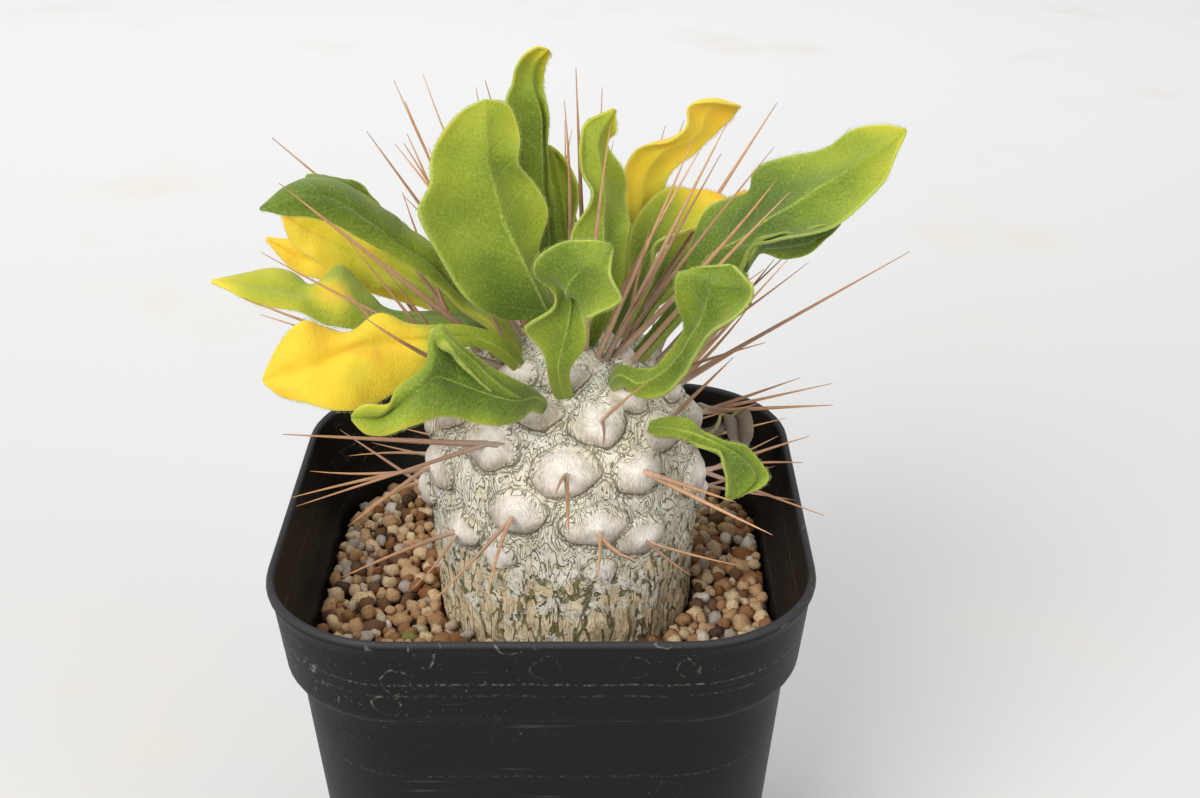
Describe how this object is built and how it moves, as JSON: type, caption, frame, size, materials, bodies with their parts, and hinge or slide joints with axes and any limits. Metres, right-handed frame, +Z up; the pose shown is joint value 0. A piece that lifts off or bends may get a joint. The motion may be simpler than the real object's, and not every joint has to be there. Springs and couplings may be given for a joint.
{
  "type": "potted halfmens",
  "caption": "Squat spiny succulent with a silvery knobbed trunk and a crown of waved green and yellowing leaves, in gravel in a square black nursery pot.",
  "frame": {"origin": "middle of the pot's flat underside", "axes": "+Z up through the trunk; -Y towards the side that the picture shows; +X to its right"},
  "size_m": [0.1135, 0.1044, 0.1653],
  "materials": {
    "pot_plastic": "moulded black plastic, satin to matt, with faint lime marks",
    "gravel": "small rounded mineral grains, beige, tan, brown and white",
    "bark": "silvery grey bark with fine olive fissures, and brown spines",
    "leaf_green": "velvety green blade with a pale hairy margin",
    "leaf_turning": "velvety blade turning from green to yellow",
    "leaf_yellow": "velvety yellow blade",
    "leaf_withered": "dry grey-brown shrivelled blade"
  },
  "bodies": {
    "root": {"pot": "pot_plastic", "soil": "gravel", "stem": "bark", "leaf_front_broad": "leaf_green", "leaf_rear_tall": "leaf_green", "leaf_rear_oval": "leaf_green", "leaf_centre_curl": "leaf_green", "leaf_rear_yellow": "leaf_yellow", "leaf_right_cupped": "leaf_turning", "leaf_rear_right": "leaf_yellow", "leaf_right_long": "leaf_green", "leaf_front_right": "leaf_green", "leaf_front_small": "leaf_green", "leaf_left_long": "leaf_green", "leaf_left_yellow": "leaf_yellow", "leaf_left_low": "leaf_turning", "leaf_left_tip": "leaf_yellow", "leaf_yellow_front": "leaf_yellow", "leaf_green_front": "leaf_green", "leaf_low_right": "leaf_green", "leaf_back_left": "leaf_green", "leaf_back_middle": "leaf_green", "leaf_back_right": "leaf_green", "leaf_withered": "leaf_withered"}
  },
  "joints": []
}
